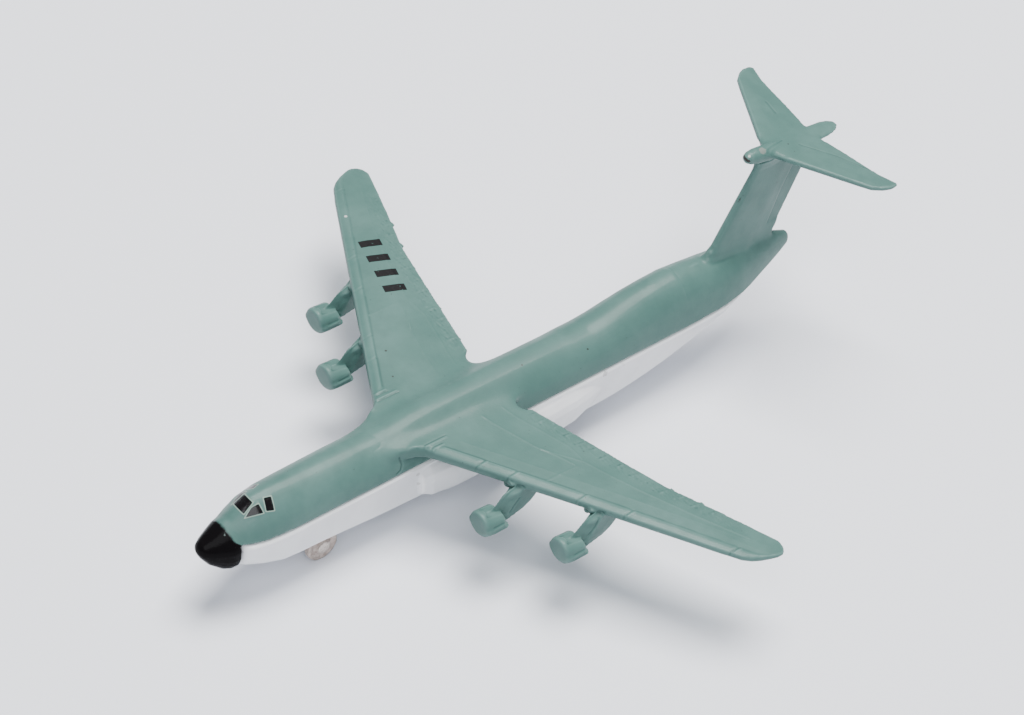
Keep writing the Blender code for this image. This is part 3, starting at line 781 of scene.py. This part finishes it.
def flap_height(at, co):
    """Uneven chordwise marks and rough metal ahead of the trailing edge."""
    uneven = (0.7 + 0.6 * waves(co, 3.0, 5)) * (1 - 0.45 * step(26.0, 44.0, at.out))
    uneven = uneven * (0.75 + 0.25 * at.port) * step(0.25, 0.7, at.ahead)
    height = np.zeros(len(co))
    for place, length in FLAP_MARKS:
        along = step(length + 0.6, length - 0.2, at.ahead) * uneven
        height += along * (FLAP_MARK_RISE * ridge(at.out - place, 0.19)
                           - FLAP_MARK_GROOVE * ridge(at.out - place + FLAP_GROOVE_OFFSET, 0.19))
    rough_zone = step(3.6, 2.0, at.ahead) * step(8.0, 10.0, at.out) * step(48.0, 44.0, at.out)
    bumps = (FINE_BUMPS[0] * waves(co, FINE_BUMPS[1], 3, 24)
             + COARSE_BUMPS[0] * waves(co, COARSE_BUMPS[1], 7))
    return at.top * (height + rough_zone * bumps)


def wing_relief(co, normals):
    """Height of the slats, panel lines and marks over the wing top."""
    at = WingPlaces(co, normals)
    return slat_height(at, normals) + line_height(at) + flap_height(at, co)


def fuselage_relief(co, normals):
    """Height of the window frames and grooves on the fuselage."""
    mirrored = np.stack([co[:, 0], np.abs(co[:, 1] - PANE_MIDDLE), co[:, 2]], 1)
    height = np.zeros(len(co))
    fore = co[:, 0] > 45
    frames = np.zeros(fore.sum())
    for corners in PANES:
        outward = np.array(corners) - np.mean(corners, 0)
        outward /= np.linalg.norm(outward, axis=1)[:, None]
        grown = np.array(corners) + FRAME_OFFSET * outward
        path = np.vstack((grown, grown[:1]))
        frames = np.maximum(frames, ridge(near(mirrored[fore], path), 0.18))
    height[fore] += FRAME_RISE * frames
    side = step(0.4, 0.7, np.abs(normals[:, 1])) * step(3.0, 3.6, np.abs(co[:, 1]))
    side = side * step(0.5, 0.2, np.abs(normals[:, 0])) * (np.abs(co[:, 1]) < 5.6)
    height -= SIDE_GROOVE_DEPTH * side * ridge(near(co[:, [0, 2]], SIDE_GROOVE), 0.16)
    crown = step(0.2, 0.5, normals[:, 2]) * (np.abs(co[:, 1]) < 4.0)
    height -= CROWN_ARC_DEPTH * crown * ridge(near(co[:, :2], CROWN_ARC), 0.18)
    height -= REAR_RING_DEPTH * crown * ridge(co[:, 0] - REAR_RING_X, 0.16)
    height += DORSAL_RIDGE_RISE * ridge(near(co, DORSAL_RIDGE), 0.4)
    return height


def engine_relief(co, normals):
    """Height of the sharp lines and grooves on the engines and pylons."""
    mirrored = np.stack([co[:, 0], np.abs(co[:, 1]), co[:, 2]], 1)
    engines = (mirrored[:, 1] > 15) & (mirrored[:, 1] < 36) & (co[:, 2] < 17)
    place = mirrored[engines]
    lines = np.zeros(len(place))
    for path in ENGINE_RIDGES:
        lines += ENGINE_RIDGE_RISE * ridge(near(place, path), 0.22)
    for path in PYLON_GROOVES:
        lines -= PYLON_GROOVE_DEPTH * ridge(near(place, path), 0.2)
    height = np.zeros(len(co))
    height[engines] = lines
    return height


def fin_relief(co, normals):
    """The rudder lies a little below the fin, behind a fine groove."""
    side = step(0.4, 0.7, np.abs(normals[:, 1])) * (np.abs(co[:, 1]) < 1.4) * (co[:, 0] < -40)
    side = side * step(21.0, 21.8, co[:, 2]) * step(34.9, 34.3, co[:, 2])
    behind = np.interp(co[:, 2], RUDDER_LINE[:, 0], RUDDER_LINE[:, 1]) - co[:, 0]
    return -side * (RUDDER_DEPTH * step(-0.1, 0.15, behind)
                    + RUDDER_GROOVE * ridge(behind, 0.17))


def tail_relief(co, normals):
    """Fine hinge lines, the crease beside the bullet and a sharp leading edge."""
    out = np.abs(co[:, 1])
    top = step(0.2, 0.6, normals[:, 2]) * step(36.4, 36.8, co[:, 2])
    behind = np.interp(out, TAIL_LEAD[:, 0], TAIL_LEAD[:, 1]) - co[:, 0]
    edge = step(2.0, 2.8, out) * step(17.0, 16.5, out) * ridge(behind - TAIL_EDGE_BACK, 0.18)
    height = TAIL_EDGE_RISE * top * edge
    for path in TAIL_LINES:
        height -= TAIL_LINE_DEPTH * top * ridge(near(co[:, :2], path), 0.18)
    return height - TAIL_LINE_DEPTH * top * ridge(near(co[:, :2], TAIL_CREASE), 0.2)


def engine_offset(co, middle, front):
    """How one pair of engines moves: drum tops fall, pylons get sharp and reach forward."""
    x, out, z = co[:, 0], np.abs(co[:, 1]), co[:, 2]
    beside = np.abs(out - middle)
    offset = np.zeros_like(co)

    back = np.clip((front - x) / DRUM_LENGTH, 0, 1)
    drum_top = step(2.9, 2.6, beside) * step(front - 6.0, front - 4.2, x)
    drum_top = drum_top * step(DRUM_MIDDLE_Z, DRUM_TOP_Z, z) * step(15.8, 13.9, z)
    offset[:, 2] = -DRUM_FALL * back * drum_top

    drum = step(3.3, 3.1, beside) * step(front - 5.2, front - 4.6, x) * (x < front + 1)
    drawn_in = drum * (DRUM_TAPER_ABOVE * step(11.45, 11.85, z) * step(15.0, 13.9, z)
                       + DRUM_TAPER_BELOW * step(10.75, 10.4, z))
    edge_x = front - np.interp(z, PYLON_EDGE[:, 0], PYLON_EDGE[:, 1])
    wedge = step(1.8, 0.0, edge_x - x) * step(edge_x - 3.5, edge_x - 2.5, x) * (x < edge_x + 1)
    wedge = wedge * step(1.5, 1.15, beside) * step(13.7, 14.2, z) * step(16.6, 16.0, z)
    drawn_in = np.maximum(drawn_in, PYLON_TAPER * wedge)
    offset[:, 1] = -np.sign(co[:, 1]) * (out - middle) * drawn_in

    foot = step(1.45, 1.2, beside) * step(13.2, 13.8, z) * step(16.0, 14.4, z)
    foot = foot * step(edge_x - 3.0, edge_x - 0.5, x) * step(edge_x + 1.6, edge_x + 0.6, x)
    offset[:, 0] = PYLON_FOOT_REACH * foot
    return offset


def drum_front_share(co):
    """1 at the front of the drums, where their edges soften."""
    share = np.zeros(len(co))
    for middle, front in DRUMS:
        at_front = step(front - 1.6, front - 0.9, co[:, 0]) * (co[:, 0] < front + 1)
        beside = np.abs(np.abs(co[:, 1]) - middle)
        share += at_front * (beside < 3.2) * (co[:, 2] < 14.4)
    return share


def root_share(co):
    """1 in the fillet between the fuselage and the wings."""
    x, out, z = co[:, 0], np.abs(co[:, 1]), co[:, 2]
    behind = np.interp(out, WING_EDGES[:, 0], WING_EDGES[:, 1]) - x
    share = step(1.4, 2.8, out) * step(8.2, 6.4, out) * step(15.0, 15.5, z)
    share = share * step(-9.0, -6.0, x) * step(37.0, 34.0, x)
    return share * np.maximum(step(0.8, 2.2, behind), step(5.0, 4.0, out))


def chord_share(co):
    """How far along the fin's chord each point lies."""
    lead, trail = (np.interp(co[:, 2], FIN_EDGES[:, 0], FIN_EDGES[:, k]) for k in (1, 2))
    return (lead - co[:, 0]) / (lead - trail)


def fin_foot_share(co):
    """1 in the fillet at the foot of the fin, ahead of its trailing edge."""
    x, out, z = co[:, 0], np.abs(co[:, 1]), co[:, 2]
    share = step(-44.0, -46.0, x) * step(16.8, 17.6, z) * step(23.0, 21.6, z) * (out < 3.4)
    return share * step(0.95, 0.85, chord_share(co))


def fin_step_share(co):
    """1 at the CAD model's step beside the rudder, which the fin's relief draws anew."""
    out, z = np.abs(co[:, 1]), co[:, 2]
    share = step(0.42, 0.52, chord_share(co)) * step(0.8, 0.72, chord_share(co))
    return share * step(20.5, 21.5, z) * step(35.0, 34.4, z) * (out < 1.4)


# Places that are softened, and in how many passes
SOFTENED = ((drum_front_share, 8), (root_share, 240), (fin_foot_share, 60), (fin_step_share, 70))


def casting_shape(co, normals, edges):
    """The engines' forms, a fuller nose, a closed fin top and soft fillets."""
    x, z = co[:, 0], co[:, 2]
    moved = co + sum(engine_offset(co, middle, front) for middle, front in DRUMS)
    full = step(57.0, 58.3, x) * (NOSE_FULLER + CHIN_FULLER * step(12.8, 11.4, z))
    moved += normals * full[:, None]
    moved[:, 2] += FIN_TOP_RISE * step(34.8, 35.6, z) * (x < -38)
    for share_at, passes in SOFTENED:
        moved = relaxed(moved, edges, passes, share_at(co), back=PULL)
    return moved


def tail_shape(co, normals, edges):
    """The bullet sinks into the tailplane's rear, with a wide flat tongue behind it."""
    x, out, z = co[:, 0], np.abs(co[:, 1]), co[:, 2]
    moved = co.copy()
    moved[:, 1] *= 1 + TONGUE_SPREAD * step(-55.8, -57.6, x) * step(3.4, 1.6, out)
    over_deck = np.maximum(z - np.interp(x, TAIL_DECK[:, 0], TAIL_DECK[:, 1]), 0)
    moved[:, 2] -= BULLET_SINK * step(-48.5, -51.5, x) * step(2.6, 1.8, out) * over_deck
    blended = 0.8 * step(-45.0, -47.0, x) * step(3.6, 2.6, out) * step(36.6, 37.0, z)
    return relaxed(moved, edges, 40, blended, back=PULL)


def casting_share(co):
    """Fuselage well smoothed, thin and detailed places less."""
    body = step(6.5, 5.0, np.abs(co[:, 1])) * step(12.9, 13.3, co[:, 2])
    fin = step(-38.0, -40.0, co[:, 0]) * step(19.0, 20.0, co[:, 2])
    return 0.25 + 0.75 * body * (1 - 0.8 * fin)


def half_share(co):
    return np.full(len(co), 0.5)


def soft_cast(node, name, voxel, passes, share_at, triangles, materials, shape_at=None,
              reliefs=(), extras=()):
    """A CAD node as a soft casting: smoothed, reshaped a little, then its fine relief."""
    obj = remeshed(node_copy(node, name, extras), voxel)
    co, normals, edges = arrays(obj.data)
    put(obj.data, relaxed(co, edges, passes, share_at(co)))
    if shape_at is not None:
        put(obj.data, shape_at(*arrays(obj.data)))
    co, normals, edges = arrays(obj.data)
    height = sum((relief(co, normals) for relief in reliefs), np.zeros(len(co)))
    put(obj.data, co + normals * height[:, None])
    return finish_mesh(obj, triangles, materials)


nubs = [((x, side * y, z), NUB_RADIUS) for x, y, z in NUBS for side in (1, -1)]
casting = soft_cast("upper_casting", "casting", voxel=0.17, passes=60, share_at=casting_share,
                    triangles=192000, materials=(green, nose_black), shape_at=casting_shape,
                    reliefs=(wing_relief, fuselage_relief, engine_relief, fin_relief),
                    extras=nubs)
tail = soft_cast("tailplane", "tail", voxel=0.17, passes=24, share_at=half_share,
                 triangles=60000, materials=(green_tail,), shape_at=tail_shape,
                 reliefs=(tail_relief,))
shell = soft_cast("lower_shell", "base", voxel=0.2, passes=16, share_at=half_share,
                  triangles=110000, materials=(white,))

for obj, node, slot_name in ((casting, "upper_casting", "green_paint"),
                             (tail, "tailplane", "green_paint"),
                             (shell, "lower_shell", "white_shell")):
    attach(obj, "airframe")
    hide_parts(node)


def turned(name, section, place, side, material_, closed, wobble=0.0):
    """Ring of faces around an axis along Y. The section is radius and distance along it."""
    bm = bmesh.new()
    rows = []
    for radius, along in section:
        row = []
        for i in range(SIDES):
            a = 2 * math.pi * i / SIDES
            r = radius + wobble * radius / RADIUS * math.sin(3 * a + 1.0) * math.sin(7 * a)
            row.append(bm.verts.new((r * math.cos(a), side * along, r * math.sin(a))))
        rows.append(row)
    pairs = list(zip(rows, rows[1:])) + ([(rows[-1], rows[0])] if closed else [])
    for row, following in pairs:
        for i in range(SIDES):
            j = (i + 1) % SIDES
            bm.faces.new((row[i], row[j], following[j], following[i]))
    if not closed:
        bm.faces.new(rows[0])
        bm.faces.new(rows[-1])
    bmesh.ops.recalc_face_normals(bm, faces=bm.faces)
    bmesh.ops.scale(bm, verts=bm.verts, vec=(MM,) * 3)
    mesh = bpy.data.meshes.new(name)
    bm.to_mesh(mesh)
    bm.free()
    mesh.shade_smooth()
    mesh.set_sharp_from_angle(angle=math.radians(50))
    mesh.materials.append(material_)
    obj = new_object(name, mesh)
    obj.location = [c * MM for c in place]
    return obj


def axle_profile(head):
    """Section of an axle: wire between two heads with domed ends. Head is the heads' place."""
    dome = [(DOME_RADIUS * math.cos(t), DOME_RISE * math.sin(t))
            for t in np.linspace(0.15, 1.5, 7)]
    profile = [(r, -head - rise) for r, rise in reversed(dome)]
    profile += [(HEAD_RADIUS, -head), (WIRE_RADIUS, -head), (WIRE_RADIUS, head),
                (HEAD_RADIUS, head)]
    return profile + [(r, head + rise) for r, rise in dome]


for label, x, half in WHEELSETS:
    inner = half + GAP
    for side, side_name in ((1, "port"), (-1, "starboard")):
        wheel = turned(f"{label}_wheel_{side_name}_cast", WHEEL_SECTION,
                       (x, side * inner, AXLE_Z), side, alloy, True, WHEEL_WOBBLE)
        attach(wheel, f"{label}_wheelset")
        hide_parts(f"{label}_wheel_{side_name}")
    profile = axle_profile(inner + WIDTH + GAP)
    axle = turned(f"{label}_axle_wire", profile, (x, 0, AXLE_Z), 1, wire, False)
    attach(axle, f"{label}_wheelset")
    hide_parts(f"{label}_axle")

bpy.ops.mesh.primitive_plane_add(size=FLOOR_SIZE, location=(0, 0, 0))
floor = bpy.context.object
floor.name = "floor"
ground = Paint("floor", 0.75)
ground.surface(FLOOR_COLOR)
floor.data.materials.append(ground.material)

for name, place, size, power, color in LIGHTS:
    light = bpy.data.lights.new(name, "AREA")
    light.shape = "RECTANGLE"
    light.size = size
    light.size_y = size
    light.energy = power
    light.color = color
    lamp = new_object(name, light)
    lamp.location = place
    aim = Vector(LIGHT_AIM) - Vector(place)
    lamp.rotation_euler = aim.to_track_quat("-Z", "Y").to_euler()

world = bpy.data.worlds.new("studio")
world.use_nodes = True
world.node_tree.nodes["Background"].inputs["Color"].default_value = SKY_COLOR
world.node_tree.nodes["Background"].inputs["Strength"].default_value = SKY_STRENGTH
bpy.context.scene.world = world

camera_data = bpy.data.cameras.new("camera")
camera_data.sensor_width = SENSOR
camera_data.lens = CAMERA_LENS
camera_data.clip_start = 0.01
camera = new_object("camera", camera_data)
camera.matrix_world = (Matrix.Translation([c * MM for c in CAMERA_PLACE])
                       @ Matrix(CAMERA_AXES).transposed().to_4x4())
bpy.context.scene.camera = camera
